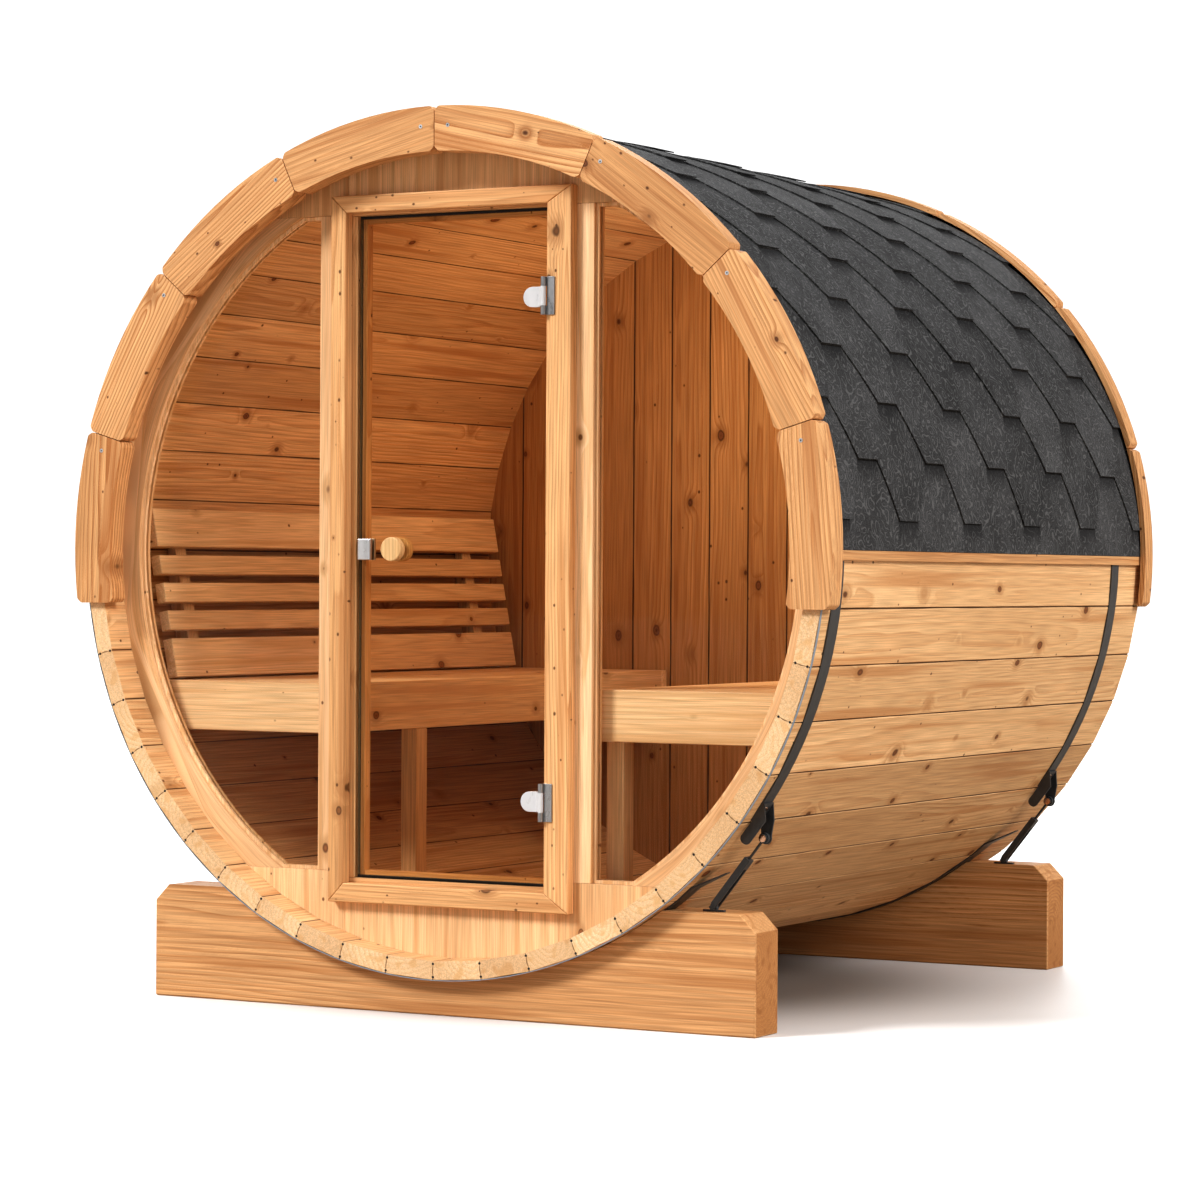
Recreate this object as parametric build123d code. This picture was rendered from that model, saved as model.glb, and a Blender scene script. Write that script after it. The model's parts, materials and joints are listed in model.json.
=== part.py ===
from build123d import *

import math
import os

# Barrel sauna: a round wall of staves lying along Y on two cradles, with a glazed front at low Y.
# Lengths are in millimetres. Shapes are drawn about the barrel's axis and lifted to the ground last.

# Barrel and staves
barrel_length = 1900.0
barrel_radius = 980.0  # axis to the flat outside of a stave
barrel_ground_clearance = 88.0  # ground to the underside of the barrel
stave_count = 48
stave_thickness = 42.0
stave_edge_chamfer = 3.0
bead_width = 22.0  # rounded tongue on one edge of a stave, hollow on the other
bead_height = 2.5
croze_depth = 8.0  # groove inside the staves that holds the end walls
edge_strip_thickness = 2.0
edge_strip_width = 5.0

# Clearances
joint_gap = 0.4  # between like pieces laid edge to edge
seat_clearance = 0.3  # between a piece and its seat
cut_overrun = 20.0

# End walls
wall_thickness = 42.0
front_wall_recess = 80.0
rear_wall_recess = 45.0
rear_board_count = 16

# Windows beside the door
window_casing_gap = 44.0  # window edge outside the door casing
window_head_drop = 42.0  # window top below the top of the casing
window_sill_rise = 70.0  # window foot above the foot of the casing
window_rim_width = 51.0  # window edge inside the staves
pane_thickness = 8.0
bead_strip = 8.0

# Door frame
casing_half_width = 322.0
casing_corner_gap = 59.0  # casing corners below the staves
casing_thickness = 28.0
casing_latch_width = 42.0
casing_hinge_width = 64.0
casing_head_width = 40.0
casing_sill_width = 45.0
casing_chamfer = 2.0
jamb_thickness = 26.0
jamb_latch_reveal = 14.0  # jamb edge that shows inside the casing
jamb_head_reveal = 6.0
jamb_sill_reveal = 11.0
stop_width = 18.0
stop_depth = 24.0

# Door leaf
door_glass_thickness = 8.0
door_glass_setback = 2.0  # glass face behind the wall face
door_edge_gap = 8.0
door_stop_gap = 5.0
hinge_end_distance = 250.0  # hinge centre from the end of the casing
hinge_axis_inset = 3.0  # hinge axis inside the hinge jamb
hinge_axis_stand = 8.0  # hinge axis in front of the casing
knuckle_radius = 6.2
knuckle_length = 86.0
door_knuckle_length = 44.0
hinge_pin_radius = 3.0
hinge_pin_clearance = 0.05
knuckle_end_gap = 0.5
hinge_plate_width = 46.0
hinge_plate_height = 46.0
hinge_plate_thickness = 12.0
hinge_plate_inset = 16.0  # plate edge inside the edge of the glass
hinge_back_plate_thickness = 8.0
hinge_back_plate_width = 30.0
hinge_arm_width = 10.0
frame_leaf_width = 26.0
frame_leaf_thickness = 3.0
knob_inset = 101.0  # knob axis inside the free edge of the glass
knob_radius = 28.0
knob_depth = 20.0
knob_spindle_radius = 8.0
knob_stand = 5.0  # knob clear of the glass
catch_width = 36.0
catch_height = 50.0
catch_thickness = 10.0
catch_back_width = 17.0
catch_edge_round = 2.0

# Arches of boards that cap the stave ends over the upper half
arch_inner_lap = 33.0  # arch edge inside the staves
arch_outer_lap = 28.0  # arch edge outside the staves
arch_drop = 130.0  # arch ends below the barrel's axis
arch_board_count = 8
arch_board_gap = 2.0
arch_corner_cut = 10.0
arch_face_thickness = 15.0
arch_lip_depth = 38.0
arch_groove_clearance = 3.0  # over the roof's edge

# Roof of shingle courses over the upper half
roof_course_count = 11  # on each side, below the ridge course
course_lower_thickness = 9.0
course_upper_thickness = 4.0
roof_end_inset = 4.0
eave_batten_height = 23.0
eave_batten_thickness = 8.0

# Steel bands and their tensioners
band_width = 46.0
band_thickness = 2.0
front_band_inset = 72.0  # band centre behind the front stave ends
rear_band_inset = 188.0
band_slot_clearance = 2.0
tongue_root_distance = 82.0  # root of the lower band's lifted tongue above the cradle, along the band
tongue_length = 86.0
tongue_lift = 24.0
tongue_tip_width = 14.0
pull_stand = 37.0  # line of pull outside the barrel's skin
pull_length = 198.0  # tension bolt to anchor pin
band_end_distance = 22.0  # upper band end before the tension bolt
bracket_lead = 72.0  # bracket's start before the tension bolt
bracket_tail = 30.0  # front flange's end past the tension bolt
bracket_base_thickness = 4.0
flange_thickness = 4.0
flange_height = 26.0
flange_slope_share = 0.4
flange_round_share = 0.45
lug_radius = 14.0
tension_bolt_radius = 5.0
tension_bolt_head_radius = 10.0
tension_bolt_head_length = 5.0
tension_eye_radius = 12.0
tension_eye_width = 10.0
tension_rod_radius = 3.2
yoke_length = 138.0  # from its head to the anchor pin
yoke_head_length = 26.0
yoke_arm_height = 15.0
yoke_arm_thickness = 5.0
yoke_arm_gap = 12.0
anchor_pin_height = 12.0  # above the cradle
anchor_pin_radius = 4.0
anchor_lug_radius = 8.0
anchor_lug_clearance = 1.0
anchor_plate_length = 52.0
anchor_plate_thickness = 4.0

# Cradles
cradle_length = 1606.0
cradle_height = 268.0
cradle_thickness = 112.0
cradle_corner_cut = 38.0
front_cradle_inset = 38.0
rear_cradle_inset = 73.0

# Benches
bench_top = -316.0  # seat top from the barrel's axis
bench_inner_x = 363.0
bench_board_thickness = 28.0
bench_apron_height = 118.0
bench_end_gap = 5.0  # bench ends from the end walls
seat_slat_count = 4
seat_slat_gap = 10.0
seat_slat_thickness = 28.0
seat_wall_gap = 12.0
bearer_height = 70.0
bearer_spacing = 520.0
leg_width = 45.0
leg_depth = 50.0
left_leg_spacing = 870.0
backrest_rise = 410.0
backrest_foot_gap = 59.0  # front of the slats from the staves
backrest_top_gap = 29.0
backrest_lift = 7.0
backrest_slat_heights = (95.0, 48.0, 48.0, 48.0, 95.0)
backrest_slat_thickness = 28.0
upright_width = 45.0
upright_spacing = 680.0
upright_top_share = 0.9

# Sizes worked out from the driving dimensions
axis_height = barrel_radius + barrel_ground_clearance
front_y = -barrel_length / 2
rear_y = barrel_length / 2
stave_step = 360.0 / stave_count
inner_radius = barrel_radius - stave_thickness
corner_radius = barrel_radius / math.cos(math.pi / stave_count)
skin_radius = corner_radius + seat_clearance
croze_radius = inner_radius + croze_depth
wall_radius = croze_radius - seat_clearance
inside_radius = inner_radius - seat_clearance
window_radius = inner_radius - window_rim_width
arch_inner_radius = inner_radius - arch_inner_lap
arch_outer_radius = barrel_radius + arch_outer_lap
casing_half_height = math.sqrt(inner_radius**2 - casing_half_width**2) - casing_corner_gap
window_inner_x = casing_half_width + window_casing_gap
window_top = casing_half_height - window_head_drop
window_bottom = window_sill_rise - casing_half_height
hinge_height = casing_half_height - hinge_end_distance
front_wall_face = front_y + front_wall_recess
front_wall_back = front_wall_face + wall_thickness
rear_wall_face = rear_y - rear_wall_recess
rear_wall_back = rear_wall_face - wall_thickness
pane_front = front_wall_face + (wall_thickness - pane_thickness) / 2
pane_back = pane_front + pane_thickness
latch_x = -casing_half_width + casing_latch_width + jamb_latch_reveal
hinge_x = casing_half_width - casing_hinge_width
head_z = casing_half_height - casing_head_width - jamb_head_reveal
sill_z = -casing_half_height + casing_sill_width + jamb_sill_reveal
casing_front = front_wall_face - casing_thickness
glass_front = front_wall_face + door_glass_setback
glass_back = glass_front + door_glass_thickness
glass_latch_x = latch_x + door_edge_gap
glass_hinge_x = hinge_x - door_edge_gap
glass_top = head_z - door_edge_gap
glass_bottom = sill_z + door_edge_gap
stop_front = glass_back + door_stop_gap
pin_x = hinge_x - hinge_axis_inset
pin_y = casing_front - hinge_axis_stand
band_radius = skin_radius + band_thickness
cradle_top = cradle_height - axis_height
pull_radius = skin_radius + pull_stand
anchor_pin_z = cradle_top + anchor_pin_height
bench_front = front_wall_back + bench_end_gap
bench_rear = rear_wall_back - bench_end_gap
slat_front = bench_front + bench_board_thickness + seat_clearance
slat_rear = bench_rear - bench_board_thickness - seat_clearance


def polar(radius, angle):
    """A point at an angle from the top of the barrel, turning to the right, seen from the front."""
    turn = math.radians(angle)
    return Vector(radius * math.sin(turn), radius * math.cos(turn))


def flipped(point):
    """The same point on the other side of the barrel."""
    return Vector(-point.X, point.Y)


def slab(outline, y_low, y_high):
    """An outline drawn in X and Z about the barrel's axis, run from y_low to y_high."""
    return extrude(Plane.XZ.offset(-y_low) * outline, amount=y_low - y_high)


def span(x_low, x_high, z_low, z_high):
    """A rectangle between two corners."""
    return Pos((x_low + x_high) / 2, (z_low + z_high) / 2) * Rectangle(x_high - x_low, z_high - z_low)


def block(x_low, x_high, y_low, y_high, z_low, z_high):
    """A straight block between two corners."""
    return slab(span(x_low, x_high, z_low, z_high), y_low, y_high)


def ring_sector(inner, outer, start, end, outer_start=None, outer_end=None):
    """A stretch of ring between two angles, whose ends may be cut off the radial line."""
    outer_start = start if outer_start is None else outer_start
    outer_end = end if outer_end is None else outer_end
    outer_arc = ThreePointArc(
        polar(outer, outer_start), polar(outer, (outer_start + outer_end) / 2), polar(outer, outer_end)
    )
    inner_arc = ThreePointArc(polar(inner, end), polar(inner, (start + end) / 2), polar(inner, start))
    far_end = Line(polar(outer, outer_end), polar(inner, end))
    near_end = Line(polar(inner, start), polar(outer, outer_start))
    return make_face(outer_arc + far_end + inner_arc + near_end)


def turned(piece, angle):
    """A piece drawn at the top of the barrel, moved round the axis."""
    return Rot(0, angle, 0) * piece


def mirrored(piece):
    """A piece of the right side, for the left side."""
    return mirror(piece, about=Plane.YZ)


def save(node, pieces):
    """Write the solids of one node, lifted from the barrel's axis to the ground."""
    solids = []
    for piece in pieces:
        solids.extend((Pos(0, 0, axis_height) * piece).solids())
    export_step(Compound(solids), f"parts/{node}.step")


def stave():
    """One stave at the top of the barrel, with a bead, a matching hollow and two grooves for the walls."""
    half_turn = math.pi / stave_count
    along = Vector(math.sin(half_turn), math.cos(half_turn))
    outward = Vector(math.cos(half_turn), -math.sin(half_turn))
    foot = Vector(inner_radius * math.tan(half_turn), inner_radius) - outward * (joint_gap / 2)
    edge_length = stave_thickness / math.cos(half_turn)
    bead_start = (edge_length - bead_width) / 2
    bead_inner = foot + along * bead_start
    bead_outer = foot + along * (bead_start + bead_width)
    edge_outer = foot + along * (edge_length - stave_edge_chamfer)
    bead_tip = foot + along * (edge_length / 2) + outward * bead_height
    hollow_tip = flipped(foot + along * (edge_length / 2)) - flipped(outward) * bead_height
    face_outer = Vector(barrel_radius * math.tan(half_turn) - stave_edge_chamfer, barrel_radius)
    outline = Polyline(flipped(edge_outer), flipped(face_outer), face_outer, edge_outer, bead_outer)
    outline += ThreePointArc(bead_outer, bead_tip, bead_inner)
    outline += Polyline(bead_inner, foot, flipped(foot), flipped(bead_inner))
    outline += ThreePointArc(flipped(bead_inner), hollow_tip, flipped(bead_outer))
    outline += Line(flipped(bead_outer), flipped(edge_outer))
    piece = slab(make_face(outline), front_y, rear_y)
    groove = span(-barrel_radius, barrel_radius, 0, croze_radius)
    piece -= slab(groove, front_wall_face - seat_clearance, front_wall_back + seat_clearance)
    piece -= slab(groove, rear_wall_back - seat_clearance, rear_wall_face + seat_clearance)
    return piece


def build_staves():
    """The round wall, in six stretches of like staves."""
    pattern = stave()
    stretches = ("right_upper", "right_lower", "floor", "left_lower", "left_upper", "roof")
    each = stave_count // len(stretches)
    first = each // 2
    for place, stretch in enumerate(stretches):
        start = first + place * each
        save(
            f"{stretch}_staves",
            [turned(pattern, (start + number + 0.5) * stave_step) for number in range(each)],
        )


def build_cradles():
    """Two beams cut to the barrel, with a shallow slot where a band passes over them."""
    ground = -axis_height
    top = cradle_top
    half = cradle_length / 2
    shoulder = top - cradle_corner_cut
    inset = half - cradle_corner_cut
    corners = [(-half, ground), (half, ground), (half, shoulder), (inset, top), (-inset, top), (-half, shoulder)]
    outline = make_face(Polyline(*corners, close=True)) - Circle(skin_radius)
    front_low = front_y + front_cradle_inset
    rear_high = rear_y - rear_cradle_inset
    places = {"cradle_front": (front_low, front_low + cradle_thickness)}
    places["cradle_rear"] = (rear_high - cradle_thickness, rear_high)
    slot = Circle(band_radius + seat_clearance)
    reach = band_width / 2 + band_slot_clearance
    for node, (low, high) in places.items():
        beam = slab(outline, low, high)
        for centre in band_centres():
            beam -= slab(slot, centre - reach, centre + reach)
        save(node, [beam])


def band_centres():
    """Where the two bands lie along the barrel."""
    return front_y + front_band_inset, rear_y - rear_band_inset


def build_front_wall():
    """The recessed front wall, in boards round the doorway and the two windows."""
    disc = Circle(wall_radius)
    door_low = latch_x - jamb_thickness
    door_high = hinge_x + jamb_thickness
    door_top = head_z + jamb_thickness
    door_foot = sill_z - jamb_thickness
    reach = barrel_radius
    half_gap = joint_gap / 2

    def board(x_low, x_high, z_low, z_high):
        return slab(disc & span(x_low, x_high, z_low, z_high), front_wall_face, front_wall_back)

    lowest_x = door_low - half_gap
    highest_x = door_high + half_gap
    save(
        "front_wall_head",
        [
            board(door_low + half_gap, door_high - half_gap, door_top, reach),
            board(-reach, lowest_x, window_top + half_gap, reach),
            board(highest_x, reach, window_top + half_gap, reach),
        ],
    )
    save(
        "front_wall_sill",
        [
            board(door_low + half_gap, door_high - half_gap, -reach, door_foot),
            board(-reach, lowest_x, -reach, window_bottom - half_gap),
            board(highest_x, reach, -reach, window_bottom - half_gap),
        ],
    )
    low = window_bottom + half_gap
    high = window_top - half_gap
    save("front_wall_left_post", [board(-window_inner_x, lowest_x, low, high)])
    save("front_wall_right_post", [board(highest_x, window_inner_x, low, high)])
    ring = disc - Circle(window_radius)
    right_rim = slab(ring & span(window_inner_x, reach, low, high), front_wall_face, front_wall_back)
    save("front_wall_right_rim", [right_rim])
    save("front_wall_left_rim", [mirrored(right_rim)])


def build_windows():
    """A fixed pane each side of the door, held by a bead in front and behind."""

    def opening(inset):
        side = span(window_inner_x + inset, barrel_radius, window_bottom + inset, window_top - inset)
        return Circle(window_radius - inset) & side

    pane = slab(opening(seat_clearance), pane_front, pane_back)
    save("window_right", [pane])
    save("window_left", [mirrored(pane)])
    ring = opening(seat_clearance) - opening(bead_strip)
    front_bead = slab(ring, pane_front - bead_strip, pane_front - seat_clearance)
    back_bead = slab(ring, pane_back + seat_clearance, pane_back + bead_strip)
    save("window_beads", [front_bead, back_bead, mirrored(front_bead), mirrored(back_bead)])


def build_door_frame():
    """Mitred casing on the wall, a jamb lining in the doorway and stops behind the glass."""
    wide = casing_half_width
    tall = casing_half_height
    in_left = -wide + casing_latch_width
    in_right = wide - casing_hinge_width
    in_top = tall - casing_head_width
    in_foot = -tall + casing_sill_width
    gap = joint_gap
    sides = (
        [(-wide, tall - gap), (in_left, in_top - gap), (in_left, in_foot + gap), (-wide, -tall + gap)],
        [(wide, tall - gap), (in_right, in_top - gap), (in_right, in_foot + gap), (wide, -tall + gap)],
        [(-wide, tall), (wide, tall), (in_right, in_top), (in_left, in_top)],
        [(-wide, -tall), (wide, -tall), (in_right, in_foot), (in_left, in_foot)],
    )
    members = []
    for corners in sides:
        outline = make_face(Polyline(*corners, close=True))
        member = slab(outline, casing_front, front_wall_face - seat_clearance)
        members.append(chamfer(member.faces().sort_by(Axis.Y)[0].edges(), casing_chamfer))
    save("door_casing", members)

    left_out = latch_x - jamb_thickness + seat_clearance
    right_out = hinge_x + jamb_thickness - seat_clearance
    top_out = head_z + jamb_thickness - seat_clearance
    foot_out = sill_z - jamb_thickness + seat_clearance
    low = front_wall_face
    high = front_wall_back
    save(
        "door_jambs",
        [
            block(left_out, latch_x, low, high, sill_z + gap, head_z - gap),
            block(hinge_x, right_out, low, high, sill_z + gap, head_z - gap),
            block(left_out, right_out, low, high, head_z, top_out),
            block(left_out, right_out, low, high, foot_out, sill_z),
        ],
    )
    low = stop_front
    high = stop_front + stop_depth
    in_left = latch_x + seat_clearance
    in_right = hinge_x - seat_clearance
    in_top = head_z - seat_clearance
    in_foot = sill_z + seat_clearance
    rail_left = latch_x + stop_width + gap
    rail_right = hinge_x - stop_width - gap
    save(
        "door_stops",
        [
            block(in_left, latch_x + stop_width, low, high, in_foot, in_top),
            block(hinge_x - stop_width, in_right, low, high, in_foot, in_top),
            block(rail_left, rail_right, low, high, head_z - stop_width, in_top),
            block(rail_left, rail_right, low, high, in_foot, sill_z + stop_width),
        ],
    )


def upright_cylinder(radius, x, y, z_low, z_high):
    """A round bar standing along Z."""
    return Pos(x, y, (z_low + z_high) / 2) * Cylinder(radius, z_high - z_low)


def build_hinges():
    """Two hinges: leaf, pin and end knuckles on the casing, plates and middle knuckle on the glass."""
    half = knuckle_length / 2
    middle = door_knuckle_length / 2
    leaf_front = casing_front - seat_clearance - frame_leaf_thickness
    leaf_back = casing_front - seat_clearance
    leaf_end = pin_x + frame_leaf_width
    clear_x = pin_x + knuckle_radius + seat_clearance + knuckle_end_gap
    frame_side = []
    door_side = []
    for centre in (hinge_height, -hinge_height):
        low = centre - half
        high = centre + half
        leaf = block(clear_x, leaf_end, leaf_front, leaf_back, low, high)
        reach = middle + knuckle_end_gap
        for start, end in ((low, centre - reach), (centre + reach, high)):
            leaf += block(pin_x, leaf_end, leaf_front, leaf_back, start, end)
            leaf += upright_cylinder(knuckle_radius, pin_x, pin_y, start, end)
        leaf += upright_cylinder(hinge_pin_radius, pin_x, pin_y, low, high)
        frame_side.append(leaf)

        plate_end = glass_hinge_x - hinge_plate_inset
        plate_start = plate_end - hinge_plate_width
        plate_back = glass_front - seat_clearance
        plate_front = plate_back - hinge_plate_thickness
        plate_half = hinge_plate_height / 2
        dome = Pos(plate_start + plate_half, centre) * Circle(plate_half)
        tail = span(plate_start + plate_half, plate_end, centre - plate_half, centre + plate_half)
        plate = slab(dome + tail, plate_front, plate_back)
        arm = make_face(
            Polyline(
                (plate_end - hinge_arm_width, plate_front + hinge_plate_thickness / 2),
                (plate_end, plate_back),
                (plate_end + hinge_arm_width / 2, plate_back),
                (pin_x, pin_y + knuckle_radius / 2),
                (pin_x - knuckle_radius / 2, pin_y - knuckle_radius / 2),
                close=True,
            )
        )
        arm = Pos(0, 0, centre - middle) * extrude(arm, amount=door_knuckle_length)
        knuckle = upright_cylinder(knuckle_radius, pin_x, pin_y, centre - middle, centre + middle)
        door_leaf = plate + arm + knuckle
        bore = hinge_pin_radius + hinge_pin_clearance
        door_leaf -= upright_cylinder(bore, pin_x, pin_y, low, high)
        back_end = plate_start + hinge_back_plate_width
        back_face = dome & span(plate_start, back_end, centre - plate_half, centre + plate_half)
        back_low = glass_back + seat_clearance
        back_plate = slab(back_face, back_low, back_low + hinge_back_plate_thickness)
        door_side.extend([door_leaf, back_plate])
    save("hinge_frame_leaves", frame_side)
    save("door_hinges", door_side)


def build_door_leaf():
    """The frameless glass door with its wooden knobs and the catch on its free edge."""
    knob_x = glass_latch_x + knob_inset
    hole = Pos(knob_x, 0) * Circle(knob_spindle_radius + seat_clearance)
    sheet = span(glass_latch_x, glass_hinge_x, glass_bottom, glass_top) - hole
    save("door_glass", [slab(sheet, glass_front, glass_back)])

    disc = Pos(knob_x, 0) * Circle(knob_radius)
    spindle = Pos(knob_x, 0) * Circle(knob_spindle_radius)
    front = glass_front - knob_stand
    back = glass_back + knob_stand
    knob = slab(disc, front - knob_depth, front) + slab(disc, back, back + knob_depth)
    save("door_knob", [knob + slab(spindle, front, back)])

    half = catch_height / 2
    right = glass_latch_x + catch_width
    front_low = glass_front - seat_clearance - catch_thickness
    front_plate = block(glass_latch_x, right, front_low, glass_front - seat_clearance, -half, half)
    back_low = glass_back + seat_clearance
    back_plate = block(right - catch_back_width, right, back_low, back_low + catch_thickness, -half, half)
    front_plate = chamfer(front_plate.faces().sort_by(Axis.Y)[0].edges(), catch_edge_round)
    back_plate = chamfer(back_plate.faces().sort_by(Axis.Y)[-1].edges(), catch_edge_round)
    save("door_catch", [front_plate, back_plate])


def build_rear_wall():
    """Upright boards, set in the groove at the back."""
    disc = Circle(wall_radius)
    width = 2 * wall_radius / rear_board_count
    boards = []
    for number in range(rear_board_count):
        start = -wall_radius + number * width
        strip = span(start + joint_gap / 2, start + width - joint_gap / 2, -wall_radius, wall_radius)
        boards.append(slab(disc & strip, rear_wall_back, rear_wall_face))
    save("rear_wall_boards", boards)


def build_arches():
    """Boards over the stave ends, grooved to sit on them, with level ends just below the axis."""
    inner_end = 90.0 + math.degrees(math.asin(arch_drop / arch_inner_radius))
    outer_end = 90.0 + math.degrees(math.asin(arch_drop / arch_outer_radius))
    step = 2 * inner_end / arch_board_count
    half_gap = math.degrees(arch_board_gap / 2 / arch_inner_radius)
    plate_front = front_y - arch_face_thickness
    lip_back = front_y + arch_lip_depth
    groove_outer = skin_radius + course_lower_thickness + arch_groove_clearance
    groove = slab(
        Circle(groove_outer) - Circle(inside_radius), front_y - seat_clearance, lip_back + cut_overrun
    )
    boards = []
    for number in range(arch_board_count):
        start = -inner_end + number * step + half_gap
        end = start + step - 2 * half_gap
        outer_start = -outer_end if number == 0 else start
        outer_stop = outer_end if number == arch_board_count - 1 else end
        outline = ring_sector(arch_inner_radius, arch_outer_radius, start, end, outer_start, outer_stop)
        outline = chamfer(outline.vertices(), arch_corner_cut)
        boards.append(slab(outline, plate_front, lip_back) - groove)
    save("front_arch", boards)
    save("rear_arch", [mirror(board, about=Plane.XZ) for board in boards])


def course(step, left_edge, right_edge):
    """One course of the roof at the top of the barrel, thicker at the edge that laps over the next."""
    half = skin_radius * math.tan(math.radians(step / 2)) - joint_gap / 2
    corners = [(-half, skin_radius), (half, skin_radius)]
    corners += [(half, skin_radius + right_edge), (-half, skin_radius + left_edge)]
    outline = make_face(Polyline(*corners, close=True))
    return slab(outline, front_y + roof_end_inset, rear_y - roof_end_inset)


def build_roof():
    """Lapped courses up both sides to a ridge course, and a batten under each eave."""
    step = 180.0 / (2 * roof_course_count + 1)
    pattern = course(step, course_upper_thickness, course_lower_thickness)
    right = [turned(pattern, (number + 1) * step) for number in range(roof_course_count)]
    save("roof_courses_right", right)
    save("roof_courses_left", [mirrored(piece) for piece in right])
    save("roof_ridge", [course(step, course_lower_thickness, course_lower_thickness)])
    batten = block(
        skin_radius,
        skin_radius + eave_batten_thickness,
        front_y + roof_end_inset,
        rear_y - roof_end_inset,
        -eave_batten_height,
        -joint_gap,
    )
    save("eave_battens", [batten, mirrored(batten)])


def arc_angle(length):
    """The angle that a length along a band takes up."""
    return math.degrees(length / band_radius)


def pull_angle():
    """The angle of the tension bolt, whose line of pull ends at the anchor pin on the cradle."""
    reach = math.hypot(pull_radius, pull_length)
    return math.degrees(math.acos(anchor_pin_z / reach) - math.atan2(pull_length, pull_radius))


def build_bands():
    """Steel bands round the lower half, each drawn down to a cradle on the right side by a tensioner."""
    band_start = 90.0 + math.degrees((eave_batten_height + joint_gap) / skin_radius)
    upper_end = pull_angle() - arc_angle(band_end_distance)
    lower_start = math.degrees(math.acos(cradle_top / band_radius)) - arc_angle(tongue_root_distance)
    upper = ring_sector(skin_radius, band_radius, band_start, upper_end)
    lower = ring_sector(skin_radius, band_radius, lower_start, 360.0 - band_start)
    for node, centre in zip(("front_band", "rear_band"), band_centres()):
        low = centre - band_width / 2
        high = centre + band_width / 2
        lower_band = slab(lower, low, high) + turned(tongue(centre), lower_start)
        save(node, [slab(upper, low, high), lower_band])
        save(node.replace("band", "tensioner"), tensioner(centre))
    reach = edge_strip_reach()
    strip = ring_sector(skin_radius, skin_radius + edge_strip_thickness, 180.0 - reach, 180.0 + reach)
    save("front_edge_strip", [slab(strip, front_y, front_y + edge_strip_width)])


def edge_strip_reach():
    """How far the edge strip runs up each side from the bottom, to the ends of the arch."""
    return 90.0 - math.degrees(math.asin((arch_drop + joint_gap) / arch_outer_radius))


def tongue(centre):
    """The lower band's end at the top of the barrel, bent outward and tapered to its tip."""
    half = band_width / 2
    tip = tongue_tip_width / 2
    side = Polyline(
        (0, skin_radius),
        (0, band_radius),
        (-tongue_length, band_radius + tongue_lift),
        (-tongue_length, skin_radius + tongue_lift),
        close=True,
    )
    plan = Polyline((0, -half), (0, half), (-tongue_length, tip), (-tongue_length, -tip), close=True)
    bent = slab(make_face(side), centre - half, centre + half)
    return bent & Pos(0, centre, 0) * extrude(make_face(plan), amount=arch_outer_radius + tongue_lift)


def tensioner(centre):
    """A bracket on the upper band with a riveted bolt, a rod with a yoke, and an anchor on the cradle."""
    angle = pull_angle()
    flange_back = centre + band_width / 2
    eye_high = flange_back - flange_thickness - seat_clearance
    eye_low = eye_high - tension_eye_width
    line = (eye_low + eye_high) / 2
    link = tension_link(line, eye_low, eye_high)
    return [bracket(centre, angle, eye_low), turned(link, angle), anchor(line, angle)]


def bracket(centre, angle, eye_low):
    """A channel over the band's end: a plain flange in front, and behind it one whose lug holds the bolt."""
    half = band_width / 2
    base_low = band_radius + seat_clearance
    base_high = base_low + bracket_base_thickness
    flange_top = base_low + flange_height
    slope_end = -bracket_lead * (1 - flange_slope_share)
    start = angle - arc_angle(bracket_lead)
    base = ring_sector(base_low, base_high, start, angle - arc_angle(band_end_distance))
    plain = Polyline(
        (-bracket_lead, base_low),
        (slope_end, flange_top),
        (bracket_tail, flange_top),
        (bracket_tail, base_low),
        close=True,
    )
    plain = make_face(plain)
    plain = fillet(plain.vertices().group_by(Axis.X)[-1], flange_height * flange_round_share)
    arm = Polyline(
        (-bracket_lead, base_low),
        (slope_end, flange_top),
        (0, pull_radius + lug_radius),
        (0, pull_radius - lug_radius),
        (-band_end_distance, base_low),
        close=True,
    )
    lug = make_face(arm) + Pos(0, pull_radius) * Circle(lug_radius)
    bolt = Pos(0, pull_radius) * Circle(tension_bolt_radius)
    head = Pos(0, pull_radius) * RegularPolygon(tension_bolt_head_radius, 6)
    bolt_low = eye_low - seat_clearance
    fittings = slab(plain, centre - half, centre - half + flange_thickness)
    fittings += slab(lug, centre + half - flange_thickness, centre + half)
    fittings += slab(bolt, bolt_low, centre + half)
    fittings += slab(head, bolt_low - tension_bolt_head_length, bolt_low)
    return slab(base, centre - half, centre + half) + turned(fittings, angle)


def tension_link(line, eye_low, eye_high):
    """A rod with an eye at its upper end and a yoke of two hooked arms at its lower end, along X."""
    eye = Pos(0, pull_radius) * (Circle(tension_eye_radius) - Circle(tension_bolt_radius + seat_clearance))
    head_start = pull_length - yoke_length
    rod_start = tension_eye_radius - tension_rod_radius
    rod = extrude(RegularPolygon(tension_rod_radius, 8), amount=head_start - rod_start)
    rod = Pos(rod_start, line, pull_radius) * Rot(0, 90, 0) * rod
    arm_low = pull_radius - yoke_arm_height / 2
    arm_high = pull_radius + yoke_arm_height / 2
    hook = anchor_pin_radius + seat_clearance
    arm = span(head_start, pull_length, arm_low, arm_high)
    arm += Pos(pull_length, pull_radius) * Circle(yoke_arm_height / 2)
    arm -= Pos(pull_length, pull_radius) * Circle(hook)
    arm -= span(pull_length - hook, pull_length + hook, arm_low - cut_overrun, pull_radius)
    inner = yoke_arm_gap / 2
    outer = inner + yoke_arm_thickness
    head = block(head_start, head_start + yoke_head_length, line - outer, line + outer, arm_low, arm_high)
    arms = slab(arm, line - outer, line - inner) + slab(arm, line + inner, line + outer)
    return slab(eye, eye_low, eye_high) + rod + head + arms


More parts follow.
